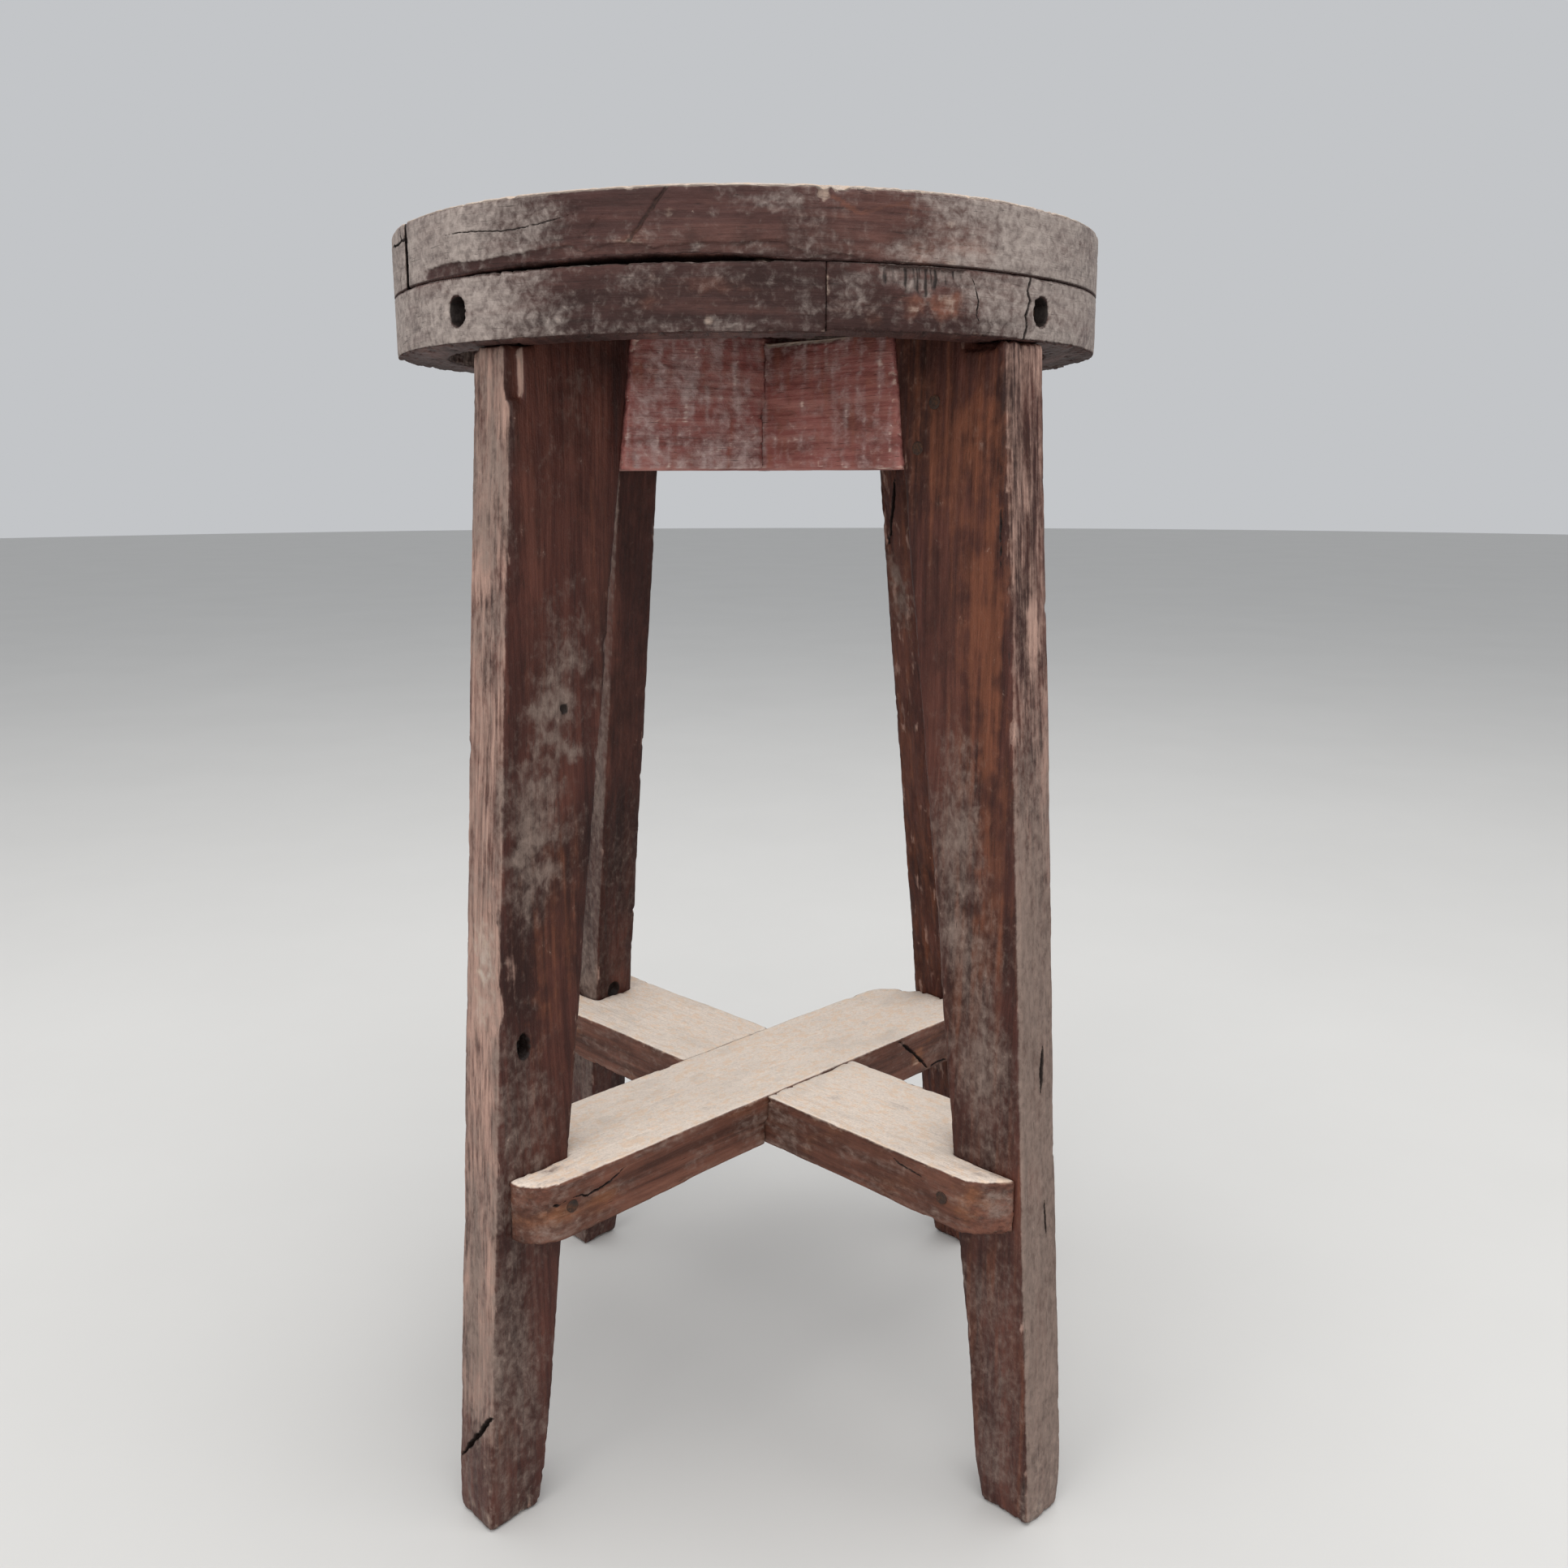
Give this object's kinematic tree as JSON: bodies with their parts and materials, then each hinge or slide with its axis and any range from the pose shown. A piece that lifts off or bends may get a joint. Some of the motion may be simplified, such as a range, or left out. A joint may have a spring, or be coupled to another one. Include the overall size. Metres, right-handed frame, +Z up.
{
  "type": "round-topped wooden stand",
  "caption": "Tall round-topped plank stand or stool: a thick round slab on a segmented ring, four splayed plank legs, crossed deep rails under the top and crossed flat forked stretchers low down.",
  "frame": {"origin": "on the floor, straight below the middle of the round top", "axes": "+Z up; the front is -Y; the legs stand on the diagonals between X and Y"},
  "size_m": [0.4, 0.4, 0.712],
  "materials": {
    "top_wood": "old dark hardwood, dusty grey-lilac patina, dry and matt",
    "leg_wood": "old dark red-brown hardwood, scuffed, patchy grey patina",
    "rail_wood": "old red-brown hardwood, streaked",
    "stretcher_wood": "old red-brown hardwood under pale beige dust",
    "peg_wood": "whittled hardwood peg, dry",
    "nail_iron": "rusted hand-made nail"
  },
  "bodies": {
    "root": {"upper_slab": "top_wood", "upper_edge_strip": "top_wood", "ring_front_left": "top_wood", "ring_front_right": "top_wood", "ring_back_right": "top_wood", "ring_back_left": "top_wood", "leg_front_left": "leg_wood", "leg_front_right": "leg_wood", "leg_back_right": "leg_wood", "leg_back_left": "leg_wood", "rail_over": "rail_wood", "rail_under": "rail_wood", "stretcher_over": "stretcher_wood", "stretcher_under": "stretcher_wood", "rim_peg_front_left": "peg_wood", "rim_peg_front_right": "peg_wood", "rim_peg_back_right": "peg_wood", "rim_peg_back_left": "peg_wood", "layer_pegs": "peg_wood", "ring_dowels": "peg_wood", "edge_dowels": "peg_wood", "rail_nails": "nail_iron", "rail_lap_nail": "nail_iron", "stretcher_nails": "nail_iron", "stretcher_lap_nail": "nail_iron"}
  },
  "joints": []
}
